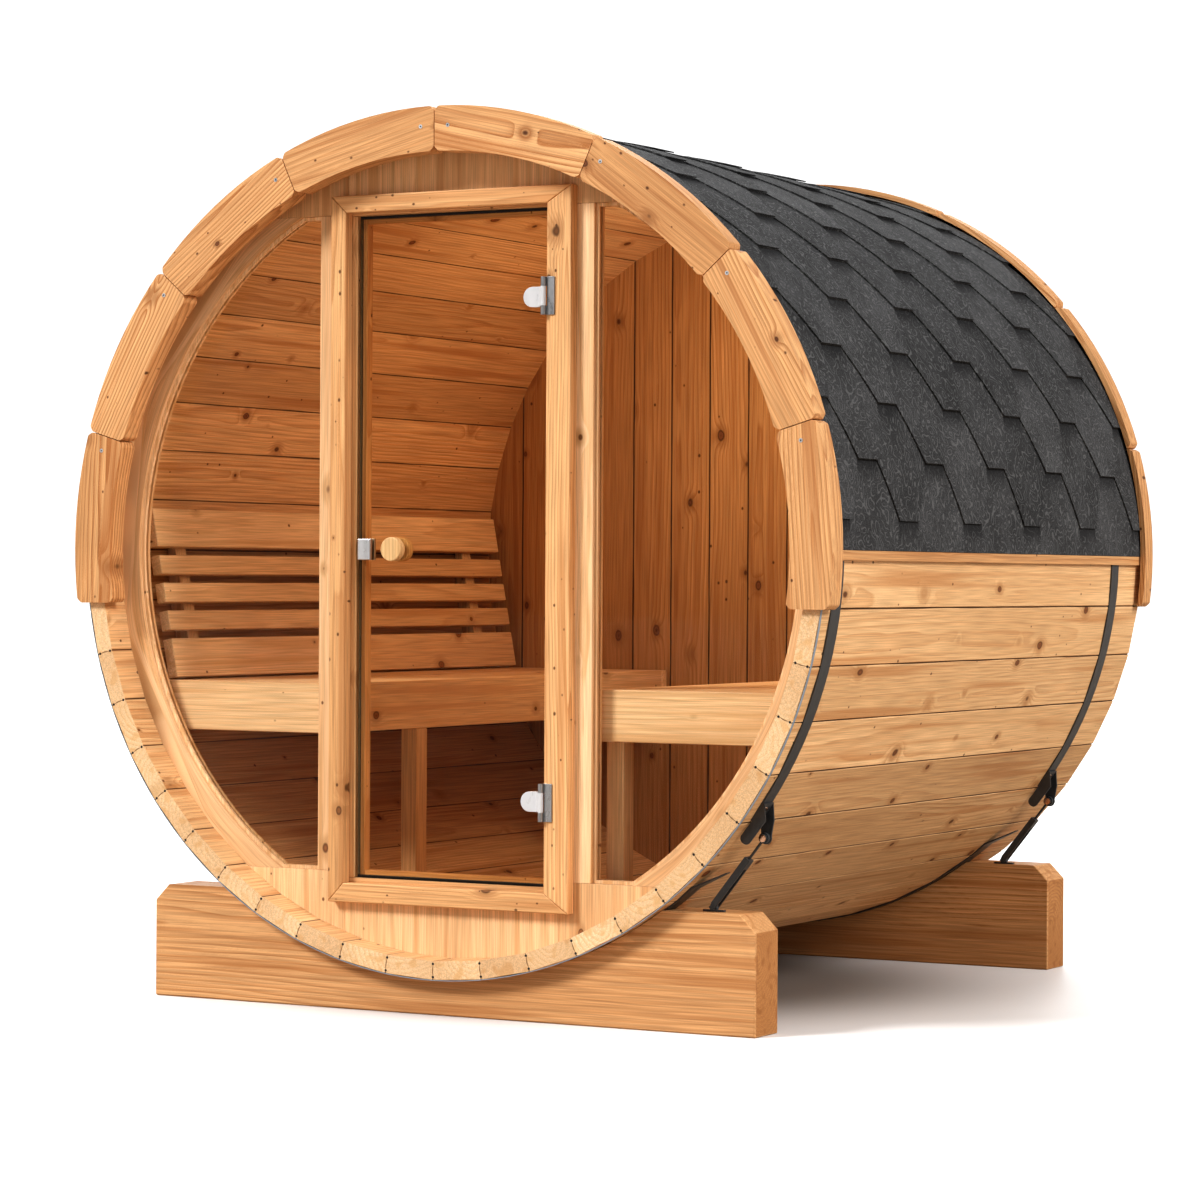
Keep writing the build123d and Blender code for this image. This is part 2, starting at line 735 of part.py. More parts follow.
def anchor(line, angle):
    """A plate and lug on the cradle's top, with the pin that the yoke hooks on."""
    place = polar(pull_radius, angle) + polar(pull_length, angle + 90.0)
    low = cradle_top + seat_clearance
    lug = span(place.X - anchor_lug_radius, place.X + anchor_lug_radius, low, place.Y)
    lug += Pos(place) * Circle(anchor_lug_radius)
    half = anchor_plate_length / 2
    lug += span(place.X - half, place.X + half, low, low + anchor_plate_thickness)
    reach = yoke_arm_gap / 2 - anchor_lug_clearance
    pin_reach = yoke_arm_gap / 2 + yoke_arm_thickness + anchor_lug_clearance
    pin = slab(Pos(place) * Circle(anchor_pin_radius), line - pin_reach, line + pin_reach)
    return slab(lug, line - reach, line + reach) + pin


def build_bench(side):
    """A slatted bench along one side: apron, ends, bearers and legs, and a backrest above it."""
    place = mirrored if side == "left" else lambda piece: piece
    inside = Circle(inside_radius)
    apron_foot = bench_top - bench_apron_height
    slat_foot = bench_top - seat_slat_thickness
    wall_x = math.sqrt(inside_radius**2 - slat_foot**2) - seat_wall_gap
    slats_start = bench_inner_x + bench_board_thickness + seat_slat_gap
    pitch = (wall_x - slats_start + seat_slat_gap) / seat_slat_count
    slats = []
    for number in range(seat_slat_count):
        start = slats_start + number * pitch
        slats.append(block(start, start + pitch - seat_slat_gap, slat_front, slat_rear, slat_foot, bench_top))
    save(f"{side}_bench_seat", [place(slat) for slat in slats])

    end_outline = inside & span(bench_inner_x, barrel_radius, apron_foot, bench_top)
    apron_back = bench_inner_x + bench_board_thickness
    frame = [
        slab(end_outline, bench_front, bench_front + bench_board_thickness),
        slab(end_outline, bench_rear - bench_board_thickness, bench_rear),
        block(bench_inner_x, apron_back, slat_front, slat_rear, apron_foot, bench_top),
    ]
    bearer_top = slat_foot - seat_clearance
    bearer_start = bench_inner_x + bench_board_thickness + seat_clearance
    bearer_outline = inside & span(bearer_start, barrel_radius, bearer_top - bearer_height, bearer_top)
    middle = (slat_front + slat_rear) / 2
    for offset in (-bearer_spacing, 0, bearer_spacing):
        low = middle + offset - bench_board_thickness / 2
        frame.append(slab(bearer_outline, low, low + bench_board_thickness))
    leg_top = apron_foot - seat_clearance
    leg_outline = inside & span(bench_inner_x, bench_inner_x + leg_width, -barrel_radius, leg_top)
    if side == "left":
        leg_centres = (middle - left_leg_spacing / 2, middle + left_leg_spacing / 2)
    else:
        leg_centres = (slat_front + leg_depth / 2, slat_rear - leg_depth / 2)
    for centre in leg_centres:
        frame.append(slab(leg_outline, centre - leg_depth / 2, centre + leg_depth / 2))
    save(f"{side}_bench_frame", [place(piece) for piece in frame])
    build_backrest(side, place)


def build_backrest(side, place):
    """Leaning slats along the wall, on uprights cut to the staves."""
    foot_z = bench_top + backrest_lift
    top_z = foot_z + backrest_rise
    foot = Vector(math.sqrt(inside_radius**2 - foot_z**2) - backrest_foot_gap, foot_z)
    top = Vector(math.sqrt(inside_radius**2 - top_z**2) - backrest_top_gap, top_z)
    up = (top - foot).normalized()
    back = Vector(up.Y, -up.X)
    length = (top - foot).length
    gap = (length - sum(backrest_slat_heights)) / (len(backrest_slat_heights) - 1)
    slats = []
    start = foot
    for height in backrest_slat_heights:
        end = start + up * height
        depth = back * backrest_slat_thickness
        outline = make_face(Polyline(start, end, end + depth, start + depth, close=True))
        slats.append(slab(outline, slat_front, slat_rear))
        start = end + up * gap
    save(f"{side}_backrest_slats", [place(slat) for slat in slats])

    base = foot + back * (backrest_slat_thickness + seat_clearance)
    tip = base + up * (length * upright_top_share)
    reach = back * barrel_radius
    outline = make_face(Polyline(base, tip, tip + reach, base + reach, close=True)) & Circle(inside_radius)
    middle = (slat_front + slat_rear) / 2
    uprights = []
    for offset in (-upright_spacing, 0, upright_spacing):
        low = middle + offset - upright_width / 2
        uprights.append(slab(outline, low, low + upright_width))
    save(f"{side}_backrest_uprights", [place(upright) for upright in uprights])


os.makedirs("parts", exist_ok=True)
build_staves()
build_cradles()
build_front_wall()
build_windows()
build_door_frame()
build_hinges()
build_door_leaf()
build_rear_wall()
build_arches()
build_roof()
build_bands()
build_bench("left")
build_bench("right")
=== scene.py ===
import json
import math
import random

import bmesh
import bpy
import numpy as np
from mathutils import Matrix, Vector


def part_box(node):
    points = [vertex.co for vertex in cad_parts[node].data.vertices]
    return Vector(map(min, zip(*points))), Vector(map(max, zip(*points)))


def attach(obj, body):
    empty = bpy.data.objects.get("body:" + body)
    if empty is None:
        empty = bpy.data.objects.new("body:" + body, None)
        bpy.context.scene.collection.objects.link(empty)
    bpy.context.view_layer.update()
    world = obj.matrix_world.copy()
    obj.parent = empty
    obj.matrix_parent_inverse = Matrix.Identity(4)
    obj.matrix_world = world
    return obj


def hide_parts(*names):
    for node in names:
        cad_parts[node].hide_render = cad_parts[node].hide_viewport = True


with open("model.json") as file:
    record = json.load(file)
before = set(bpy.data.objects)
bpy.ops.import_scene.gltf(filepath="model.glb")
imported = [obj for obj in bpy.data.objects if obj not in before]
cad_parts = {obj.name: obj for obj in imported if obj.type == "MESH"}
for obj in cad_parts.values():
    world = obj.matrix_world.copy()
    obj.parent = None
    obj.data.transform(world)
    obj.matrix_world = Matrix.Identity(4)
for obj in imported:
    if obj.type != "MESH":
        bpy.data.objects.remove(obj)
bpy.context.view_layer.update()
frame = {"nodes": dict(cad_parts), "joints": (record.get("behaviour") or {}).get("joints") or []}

# Looks of a barrel sauna. Lengths are in metres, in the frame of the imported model: front at low Y, +Z up.
nodes = frame["nodes"]
draws = random.Random(11)

# Places read from the frame
axis_z = frame["joints"][0]["pos_m"][2]
front_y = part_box("right_upper_staves")[0][1]
band_radius = axis_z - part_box("front_band")[0][2]
roof_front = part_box("roof_ridge")[0][1]
roof_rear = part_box("roof_ridge")[1][1]
stave_count = 48
stave_thickness = 0.042
barrel_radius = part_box("right_upper_staves")[1][0]
band_thickness = 0.002
skin_radius = band_radius - band_thickness
stave_step = math.radians(360.0 / stave_count)
stave_middle = barrel_radius - stave_thickness / 2

# Shingle rows: angles in degrees from the ridge, lengths along the roof
tab_pitch = 0.361
tab_middle = 0.015  # a tab's middle along the roof, in every second row
tab_flat_share = 0.29
row_angle = 7.87  # between the tab feet of two rows
eave_angle = 90.0
lowest_feet = 86.1
felt_thickness = 0.003
felt_rise = 0.0082
felt_gap = 0.0004  # between the roof and the first felt
felt_curl = 1.3  # how the rise grows towards a row's feet
row_laps = 2.1  # rows that one strip runs under and over
row_steps = 9

# Knots of the woods
spot_depth = 0.05  # over which the middles of the knots lie
spot_taper = 0.3  # how fast a knot closes with depth
smallest_spot = 0.0004
knot_cell = (0.085, 0.33)  # room for one knot, across and along the grain
knot_size = 0.0115
knot_stretch = 1.4
pin_cell = (0.024, 0.05)
pin_size = 0.0034
pin_stretch = 1.3

# Edges of the meshes
merge_distance = 1e-5
flat_angle = math.radians(0.5)  # up to which neighbouring faces are one
smooth_angle = math.radians(36)  # up to which an edge is shaded smooth
sharp_angle = math.radians(40)  # from which an edge is eased
corner_angles = (math.radians(28), math.radians(62))  # between the faces at a cut corner
end_share = 0.95  # of a face's normal along a board, from which it is the board's end
cradle_spare = band_radius + 0.005  # the cradle's edges within it lie on the barrel and stay sharp

# Round heads: radius and height
screw_head = (0.0048, 0.0006)
screw_drive = (0.0017, 0.001)
bolt_dome = ((0.0085, 0.0012), (0.0068, 0.0026), (0.004, 0.0034))
rivet_head = (0.0042, 0.002)
joint_mark = (0.003, 0.0004)

# Camera fitted to the photograph
image_side = 1200.0  # pixels
focal_pixels = 3701.47
sensor_width = 36.0  # millimetres
camera_place = Vector((4.4274, -8.1380, 1.0004))
camera_yaw = 0.5075
camera_pitch = 0.0055
camera_roll = 0.0057


def scaled(colour, share):
    """A colour with each channel multiplied."""
    return tuple(channel * share for channel in colour)


class Look:
    """One material and short ways to add its nodes."""

    def __init__(self, name):
        self.material = bpy.data.materials.new(name)
        self.material.use_nodes = True
        self.tree = self.material.node_tree
        self.surface = self.tree.nodes["Principled BSDF"]

    def feed(self, socket, value):
        if isinstance(value, bpy.types.NodeSocket):
            self.tree.links.new(value, socket)
        else:
            socket.default_value = value

    def node(self, kind, inputs=None, **settings):
        made = self.tree.nodes.new("ShaderNode" + kind)
        for key, value in settings.items():
            setattr(made, key, value)
        for key, value in (inputs or {}).items():
            self.feed(made.inputs[key], value)
        return made

    def math(self, operation, *values, clamp=False):
        made = self.node("Math", operation=operation, use_clamp=clamp)
        for socket, value in zip(made.inputs, values):
            self.feed(socket, value)
        return made.outputs[0]

    def vector(self, operation, *values):
        made = self.node("VectorMath", operation=operation)
        for socket, value in zip(made.inputs, values):
            self.feed(socket, value)
        return made.outputs["Value" if operation == "LENGTH" else "Vector"]

    def split(self, vector):
        return self.node("SeparateXYZ", {"Vector": vector}).outputs

    def join(self, x, y, z):
        return self.node("CombineXYZ", {"X": x, "Y": y, "Z": z}).outputs[0]

    def attribute(self, name, output="Vector"):
        return self.node("Attribute", attribute_name=name).outputs[output]

    def noise(self, vector, scale, detail=2.0, roughness=0.5, output=0):
        inputs = {"Vector": vector, "Scale": scale, "Detail": detail, "Roughness": roughness}
        return self.node("TexNoise", inputs).outputs[output]

    def spread(self, value, low, high, to_low=0.0, to_high=1.0):
        inputs = {"Value": value, "From Min": low, "From Max": high, "To Min": to_low, "To Max": to_high}
        return self.node("MapRange", inputs, interpolation_type="SMOOTHSTEP").outputs[0]

    def ramp(self, factor, *stops):
        made = self.node("ValToRGB", {"Fac": factor})
        elements = made.color_ramp.elements
        while len(elements) < len(stops):
            elements.new(1.0)
        for element, (place, colour) in zip(elements, stops):
            element.position = place
            element.color = (*colour, 1.0) if isinstance(colour, tuple) else (colour, colour, colour, 1.0)
        return made.outputs[0]

    def mix(self, factor, first, second, blend="MIX"):
        made = self.node("Mix", data_type="RGBA", blend_type=blend)
        for socket, value in zip((made.inputs[0], made.inputs[6], made.inputs[7]), (factor, first, second)):
            if isinstance(value, tuple):
                value = (*value, 1.0)
            self.feed(socket, value)
        return made.outputs[2]

    def spots(self, place, board, cell, share, largest, stretch):
        """How far a point lies from the nearest spot, in sizes of that spot, and that size."""
        across, depth, along = place
        cell_across, cell_along = cell
        cells = self.join(
            self.math("MULTIPLY_ADD", across, 1 / cell_across, self.math("MULTIPLY", board, 91.7)),
            self.math("DIVIDE", along, cell_along),
            0.0,
        )
        inputs = {"Vector": cells, "Scale": 1.0, "Randomness": 0.9}
        nearest = self.node("TexVoronoi", inputs, voronoi_dimensions="2D").outputs
        chance, sunk = self.split(nearest["Color"])[:2]
        inputs = {
            "Value": chance, "From Min": 1.0 - share, "From Max": 1.0,
            "To Min": smallest_spot, "To Max": largest,
        }
        size = self.node("MapRange", inputs).outputs[0]
        away = self.vector("SUBTRACT", cells, nearest["Position"])
        away = self.vector("MULTIPLY", away, (cell_across, cell_along / stretch, 0.0))
        deep = self.math("MULTIPLY_ADD", self.math("SUBTRACT", sunk, 0.5), spot_depth, depth)
        away = self.vector("ADD", away, self.join(0.0, 0.0, self.math("MULTIPLY", deep, spot_taper)))
        return self.math("DIVIDE", self.vector("LENGTH", away), size), size

    def bump(self, height, distance, strength=1.0):
        inputs = {"Height": height, "Distance": distance, "Strength": strength}
        self.feed(self.surface.inputs["Normal"], self.node("Bump", inputs).outputs[0])

    def set(self, **values):
        for name, value in values.items():
            socket = self.surface.inputs[name.replace("_", " ")]
            if isinstance(value, tuple):
                value = (*value, 1.0)
            self.feed(socket, value)
        return self.material


def wood(
    name, light, dark, knot,
    ring=0.012, knot_share=0.3, pin_share=0.12, contrast=1.0, tone=0.84, joint_shade_width=0.0, taper=0.0,
):
    """Softwood: growth rings round a pith, knots that bend them, pin knots, streaks and board tones."""
    look = Look(name)
    grain = look.attribute("grain")
    board = look.attribute("board", "Fac")
    place = look.split(grain)[:3]
    across, depth = place[:2]
    chance = look.node("TexWhiteNoise", {"W": board}, noise_dimensions="1D").outputs["Color"]
    first, second, third = look.split(chance)[:3]
    ripple = look.noise(look.vector("MULTIPLY", grain, (55.0, 55.0, 6.0)), 1.0, 0.0)
    uneven = look.math("SUBTRACT", ripple, 0.5)

    # Knots bend the rings round them, and pin knots are only dots
    reach, size = look.spots(place, board, knot_cell, knot_share, knot_size, knot_stretch)
    reach = look.math("MULTIPLY_ADD", uneven, 0.9, reach)
    swirl = look.math("EXPONENT", look.math("MULTIPLY", look.math("POWER", reach, 2.0), -0.2))
    pin = look.spots(place, board, pin_cell, pin_share, pin_size, pin_stretch)[0]

    # Growth rings round a wandering pith
    wander = look.split(look.noise(look.vector("MULTIPLY", grain, (4.0, 4.0, 0.6)), 1.0, 1.0, output=1))
    off_across = look.math("MULTIPLY_ADD", look.math("SUBTRACT", first, 0.5), -0.14, across)
    off_across = look.math("MULTIPLY_ADD", look.math("SUBTRACT", wander[0], 0.5), 0.1, off_across)
    off_depth = look.math("ADD", look.math("MULTIPLY_ADD", second, 0.07, 0.012), depth)
    off_depth = look.math("MULTIPLY_ADD", look.math("SUBTRACT", wander[1], 0.5), 0.1, off_depth)
    radius = look.vector("LENGTH", look.join(off_across, off_depth, 0.0))
    radius = look.math("MULTIPLY_ADD", look.math("MULTIPLY", swirl, size), 2.2, radius)
    rings = look.math("MULTIPLY_ADD", uneven, 0.55, look.math("DIVIDE", radius, ring))
    within = look.math("FRACT", rings)
    late = look.ramp(within, (0.0, 0.05), (0.4, 0.14), (0.78, 0.7), (0.93, 1.0), (1.0, 0.05))
    bold = look.spread(wander[2], 0.32, 0.66, 0.35, 1.0)
    shade = look.math("MULTIPLY", look.math("MULTIPLY", late, bold), contrast, clamp=True)
    colour = look.mix(shade, light, dark)

    # Fibres, reddish streaks, and the tone of each patch and board
    fibre = look.noise(look.vector("MULTIPLY", grain, (420.0, 420.0, 8.0)), 1.0, 0.0)
    colour = look.mix(1.0, colour, look.ramp(fibre, (0.25, 0.8), (0.75, 1.12)), "MULTIPLY")
    streak = look.noise(look.vector("MULTIPLY", grain, (48.0, 48.0, 1.3)), 1.0, 0.0)
    colour = look.mix(look.spread(streak, 0.56, 0.76, 0.0, 0.6), colour, dark)
    patch = look.ramp(wander[2], (0.3, (0.79, 0.73, 0.67)), (0.7, (1.09, 1.12, 1.15)))
    colour = look.mix(1.0, colour, patch, "MULTIPLY")
    own = look.ramp(third, (0.0, (tone, tone * 0.95, tone * 0.89)), (1.0, (1.06, 1.07, 1.08)))
    colour = look.mix(1.0, colour, own, "MULTIPLY")

    # Knots: dark rim, brown heart, reddish halo
    heart = look.ramp(
        look.math("MULTIPLY", reach, 0.4),
        (0.0, scaled(knot, 0.6)),
        (0.2, scaled(knot, 1.7)),
        (0.38, scaled(knot, 0.5)),
    )
    colour = look.mix(look.spread(reach, 3.2, 1.0, 0.0, 0.6), colour, scaled(dark, 0.7))
    colour = look.mix(look.spread(reach, 1.2, 0.8), colour, heart)
    colour = look.mix(look.spread(pin, 1.5, 0.7, 0.0, 0.9), colour, scaled(knot, 0.7))

    # Painted shade in the joints beside the neighbouring boards: a darkening near each board's edge, where
    # the gaps fall in shade
    if joint_shade_width:
        to_joint = look.math("SUBTRACT", look.attribute("half", "Fac"), look.math("ABSOLUTE", across))
        to_joint = look.math("MULTIPLY_ADD", depth, taper, to_joint)
        to_joint = look.math("MULTIPLY_ADD", uneven, joint_shade_width, to_joint)
        joint_shade = look.spread(to_joint, joint_shade_width, joint_shade_width * 0.35, 0.0, 0.92)
        colour = look.mix(joint_shade, colour, scaled(knot, 0.3))
    look.bump(fibre, 0.0003, 0.3)
    rough = look.math("MULTIPLY_ADD", shade, -0.12, 0.58)
    return look.set(Base_Color=colour, Roughness=rough, Specular_IOR_Level=0.22)


def steel(name, colour, rough, metal=1.0, grime=0.15):
    """Coated or bare metal with faint smears."""
    look = Look(name)
    place = look.node("TexCoord").outputs["Object"]
    smear = look.noise(look.vector("MULTIPLY", place, (60.0, 60.0, 25.0)), 1.0, 4.0, 0.6)
    fine = look.noise(place, 900.0, 2.0)
    low = scaled(colour, 1.0 - grime)
    high = tuple(min(channel * (1.0 + grime), 1.0) for channel in colour)
    tint = look.ramp(smear, (0.3, low), (0.7, high))
    look.bump(look.math("ADD", smear, look.math("MULTIPLY", fine, 0.3)), 0.0002, 0.3)
    return look.set(
        Base_Color=tint, Metallic=metal, Roughness=look.spread(smear, 0.3, 0.7, rough - 0.07, rough + 0.1)
    )


def glass(name, tint, sheen):
    """Clear sheet: tinted see-through with a mirror film that grows at the edges of sight."""
    look = Look(name)
    clear = look.node("BsdfTransparent", {"Color": (*tint, 1.0)}).outputs[0]
    place = look.node("TexCoord").outputs["Object"]
    haze = look.noise(place, 2.2, 0.0)
    mirror = look.node("BsdfGlossy", {"Color": (1.0, 1.0, 1.0, 1.0), "Roughness": 0.02}).outputs[0]
    film = look.math("MULTIPLY", look.node("Fresnel", {"IOR": 1.5}).outputs[0], sheen)
    film = look.math("MULTIPLY", film, look.spread(haze, 0.3, 0.7, 0.8, 1.1), clamp=True)
    blend = look.node("MixShader")
    look.feed(blend.inputs[0], film)
    look.feed(blend.inputs[1], clear)
    look.feed(blend.inputs[2], mirror)
    look.tree.links.new(blend.outputs[0], look.tree.nodes["Material Output"].inputs["Surface"])
    return look.material


def felt(name):
    """Bitumen felt: charcoal grit, curly veins, a tone for each tab, and a painted shadow under the tabs'
    feet.
    """
    look = Look(name)
    place = look.node("TexCoord").outputs["Object"]
    tone = look.attribute("board", "Fac")
    grit = look.noise(place, 420.0, 1.0, 0.7)
    cloud = look.noise(place, 9.0, 1.0)
    swirl = look.noise(place, 34.0, 0.0)
    vein = look.math("FRACT", look.math("MULTIPLY", swirl, 5.5))
    vein = look.math("ABSOLUTE", look.math("SUBTRACT", vein, 0.5))
    broken = look.noise(place, 70.0, 0.0)
    colour = look.ramp(
        grit, (0.3, (0.016, 0.016, 0.017)), (0.55, (0.045, 0.045, 0.046)), (0.75, (0.085, 0.085, 0.087))
    )
    colour = look.mix(1.0, colour, look.ramp(cloud, (0.3, 0.75), (0.7, 1.2)), "MULTIPLY")
    colour = look.mix(1.0, colour, look.ramp(tone, (0.0, 0.72), (1.0, 1.22)), "MULTIPLY")
    vein = look.math("MULTIPLY", look.spread(vein, 0.16, 0.05, 0.0, 0.5), look.spread(broken, 0.3, 0.44))
    colour = look.mix(vein, colour, (0.15, 0.15, 0.15))

    # Painted shadow: a dark band below each tab's foot, on the row underneath, fading downward
    x, y, z = look.split(place)[:3]
    angle = look.math("ARCTAN2", look.math("ABSOLUTE", x), look.math("SUBTRACT", z, axis_z))
    rows = look.math("DIVIDE", look.math("SUBTRACT", look.math("DEGREES", angle), lowest_feet), row_angle)
    below = look.math("FRACT", rows)
    odd = look.math("FLOORED_MODULO", look.math("ADD", look.math("FLOOR", rows), 1.0), 2.0)
    phase = look.math("MULTIPLY_ADD", look.math("SUBTRACT", y, tab_middle), 1 / tab_pitch, 0.5)
    phase = look.math("FRACT", look.math("MULTIPLY_ADD", odd, 0.5, phase))
    from_tab = look.math("ABSOLUTE", look.math("SUBTRACT", phase, 0.5))
    half_flat = tab_flat_share / 2
    beside = look.spread(from_tab, half_flat + 0.025, half_flat - 0.01)
    foot_shadow = look.math("MULTIPLY", beside, look.spread(below, 0.42, 0.0, 0.0, 0.75))
    colour = look.mix(foot_shadow, colour, (0.006, 0.006, 0.007))
    look.bump(grit, 0.0012, 0.6)
    return look.set(Base_Color=colour, Roughness=0.92, Specular_IOR_Level=0.25)


def plain(name, colour, rough=0.6):
    """A small dark or pale piece with a little unevenness."""
    look = Look(name)
    speck = look.noise(look.node("TexCoord").outputs["Object"], 250.0, 2.0)
    low = scaled(colour, 0.85)
    return look.set(Base_Color=look.ramp(speck, (0.3, low), (0.7, colour)), Roughness=rough)


stave_wood = wood(
    "stave_wood", (0.87, 0.565, 0.298), (0.53, 0.235, 0.08), (0.14, 0.048, 0.015),
    ring=0.009, contrast=0.9, knot_share=0.65, pin_share=0.25, tone=0.74, joint_shade_width=0.0023,
    taper=math.tan(stave_step / 2),
)
end_wood = wood(
    "end_wood", (0.82, 0.57, 0.34), (0.67, 0.385, 0.165), (0.8, 0.45, 0.2),
    contrast=0.7, knot_share=0.02, pin_share=0.02, joint_shade_width=0.0007, taper=math.tan(stave_step / 2),
)
arch_wood = wood(
    "arch_wood", (0.75, 0.43, 0.202), (0.41, 0.163, 0.052), (0.12, 0.04, 0.014),
    ring=0.0095, knot_share=0.85, pin_share=0.8, contrast=1.2, tone=0.88,
)
cradle_wood = wood("cradle_wood", (0.68, 0.38, 0.174), (0.4, 0.162, 0.05), (0.13, 0.05, 0.018), ring=0.014)
cradle_end_wood = wood(
    "cradle_end_wood", (0.5, 0.235, 0.085), (0.3, 0.115, 0.034), (0.13, 0.05, 0.018), ring=0.01
)
wall_wood = wood(
    "wall_wood", (0.88, 0.59, 0.345), (0.64, 0.34, 0.135), (0.2, 0.08, 0.03),
    ring=0.02, contrast=0.8, tone=0.95, pin_share=0.06,
)
panel_wood = wood(
    "panel_wood", (0.88, 0.57, 0.31), (0.64, 0.335, 0.14), (0.2, 0.08, 0.03),
    ring=0.034, contrast=0.6, pin_share=0.3,
)
frame_wood = wood(
    "frame_wood", (0.82, 0.485, 0.232), (0.54, 0.245, 0.09), (0.15, 0.06, 0.02),
    ring=0.009, knot_share=0.5, pin_share=0.9,
)
bench_wood = wood(
    "bench_wood", (0.9, 0.64, 0.38), (0.67, 0.39, 0.185), (0.2, 0.08, 0.028), contrast=0.7, tone=0.92
)
lining_wood = wood(
    "lining_wood", (0.58, 0.325, 0.135), (0.38, 0.165, 0.053), (0.13, 0.05, 0.018),
    knot_share=0.5, pin_share=0.2, joint_shade_width=0.003,
)
knob_wood = wood(
    "knob_wood", (0.85, 0.58, 0.3), (0.6, 0.34, 0.14), (0.3, 0.14, 0.05),
    ring=0.006, knot_share=0.02, pin_share=0.02,
)
band_steel = steel("band_steel", (0.062, 0.064, 0.067), 0.4, metal=0.5)
bright_steel = steel("bright_steel", (0.6, 0.61, 0.63), 0.32, grime=0.06)
edge_steel = steel("edge_steel", (0.3, 0.34, 0.39), 0.45, metal=0.6, grime=0.08)
leaf_steel = steel("leaf_steel", (0.36, 0.365, 0.375), 0.3, grime=0.08)
bolt_steel = steel("bolt_steel", (0.74, 0.45, 0.3), 0.25, grime=0.1)
hinge_paint = steel("hinge_paint", (0.62, 0.63, 0.65), 0.34, metal=0.1, grime=0.03)
window_glass = glass("window_glass", (0.97, 0.955, 0.93), 0.1)
door_glass = glass("door_glass", (0.92, 0.86, 0.77), 0.1)
shingle = felt("shingle")
seal_rubber = plain("seal_rubber", (0.014, 0.013, 0.012), 0.6)
# Painted shade: a near-black for the hollows of holes and screw drives
hole_shade = plain("hole_shade", (0.012, 0.009, 0.007), 0.8)
glass_edge = plain("glass_edge", (0.13, 0.105, 0.065), 0.15)


def finish_mesh(name, bm, materials, body="root"):
    """Turns a bmesh into a piece that rides on a body, smooth but for its edges."""
    mesh = bpy.data.meshes.new(name)
    bm.to_mesh(mesh)
    bm.free()
    for material in materials:
        mesh.materials.append(material)
    mesh.polygons.foreach_set("use_smooth", [True] * len(mesh.polygons))
    mesh.set_sharp_from_angle(angle=smooth_angle)
    piece = bpy.data.objects.new(name, mesh)
    bpy.context.scene.collection.objects.link(piece)
    even = piece.modifiers.new("even_normals", "WEIGHTED_NORMAL")
    even.keep_sharp = True
    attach(piece, body)
    return piece


def islands(bm):
    """The vertices of each separate solid."""
    bm.verts.ensure_lookup_table()
    seen = set()
    for start in bm.verts:
        if start.index in seen:
            continue
        group = [start]
        seen.add(start.index)
        for vertex in group:
            for edge in vertex.link_edges:
                other = edge.other_vert(vertex)
                if other.index not in seen:
                    seen.add(other.index)
                    group.append(other)
        yield group


def box_grain(points):
    """Grain along the longest side of a piece."""
    size = points.max(0) - points.min(0)
    short, middle, long = np.argsort(size)
    return (points - (points.max(0) + points.min(0)) / 2)[:, [middle, short, long]], size[middle] / 2


def around(points):
    """The middle of a piece of the barrel, with its outward and sideways directions."""
    middle = (points.max(0) + points.min(0)) / 2
    angle = math.atan2(middle[0], middle[2] - axis_z)
    outward = np.array([math.sin(angle), 0.0, math.cos(angle)])
    sideways = np.array([math.cos(angle), 0.0, -math.sin(angle)])
    return middle, outward, sideways


def stave_grain(points):
    """Grain along the barrel, with the depth of each stave outward."""
    middle = around(points)[0]
    angle = math.atan2(middle[0], middle[2] - axis_z)
    angle = (math.floor(angle / stave_step) + 0.5) * stave_step
    outward = np.array([math.sin(angle), 0.0, math.cos(angle)])
    sideways = np.array([math.cos(angle), 0.0, -math.sin(angle)])
    origin = np.array([0.0, middle[1], axis_z]) + outward * stave_middle
    axes = np.array([sideways, outward, [0.0, 1.0, 0.0]])
    return (points - origin) @ axes.T, stave_middle * math.tan(stave_step / 2)


def arch_grain(points):
    """Grain along each board of an arch."""
    middle, outward, sideways = around(points)
    axes = np.array([outward, [0.0, 1.0, 0.0], sideways])
    return (points - middle) @ axes.T, 0.0


def upright_grain(points):
    """Grain along Z."""
    return points - (points.max(0) + points.min(0)) / 2, 0.0


def bent_grain(points):
    """Grain that follows the barrel's round, as in a bent strip."""
    away = points - np.array([0.0, 0.0, axis_z])
    radius = np.hypot(away[:, 0], away[:, 2])
    turn = np.arctan2(away[:, 0], away[:, 2])
    local = [radius - radius.mean(), away[:, 1] - away[:, 1].mean(), turn * radius.mean()]
    return np.stack(local, axis=1), 0.0


def add_grain(bm, grain):
    """Gives each board its own stretch of wood and its own tone."""
    place = bm.verts.layers.float_vector.new("grain")
    tone = bm.verts.layers.float.new("board")
    half = bm.verts.layers.float.new("half")
    bm.verts.index_update()
    for group in list(islands(bm)):
        points = np.array([vertex.co[:] for vertex in group])
        local, half_width = grain(points)
        shift = np.array([0.0, 0.0, draws.uniform(1.0, 40.0)])
        board = draws.random()
        for vertex, point in zip(group, local + shift):
            vertex[place] = Vector(point)
            vertex[tone] = board
            vertex[half] = half_width


def from_axis(point):
    """How far a point lies from the barrel's axis."""
    return math.hypot(point.x, point.z - axis_z)


def round_corners(bm, size):
    """Rounds off the cut corners of boards, whose edges run along Y."""
    corners = []
    for edge in bm.edges:
        along = (edge.verts[1].co - edge.verts[0].co).normalized()
        if abs(along.y) > 0.99 and edge.is_manifold:
            if corner_angles[0] < edge.calc_face_angle() < corner_angles[1]:
                corners.append(edge)
    bmesh.ops.bevel(
        bm, geom=corners, offset=size, offset_type="OFFSET", segments=4, profile=0.5, affect="EDGES",
        clamp_overlap=True,
    )


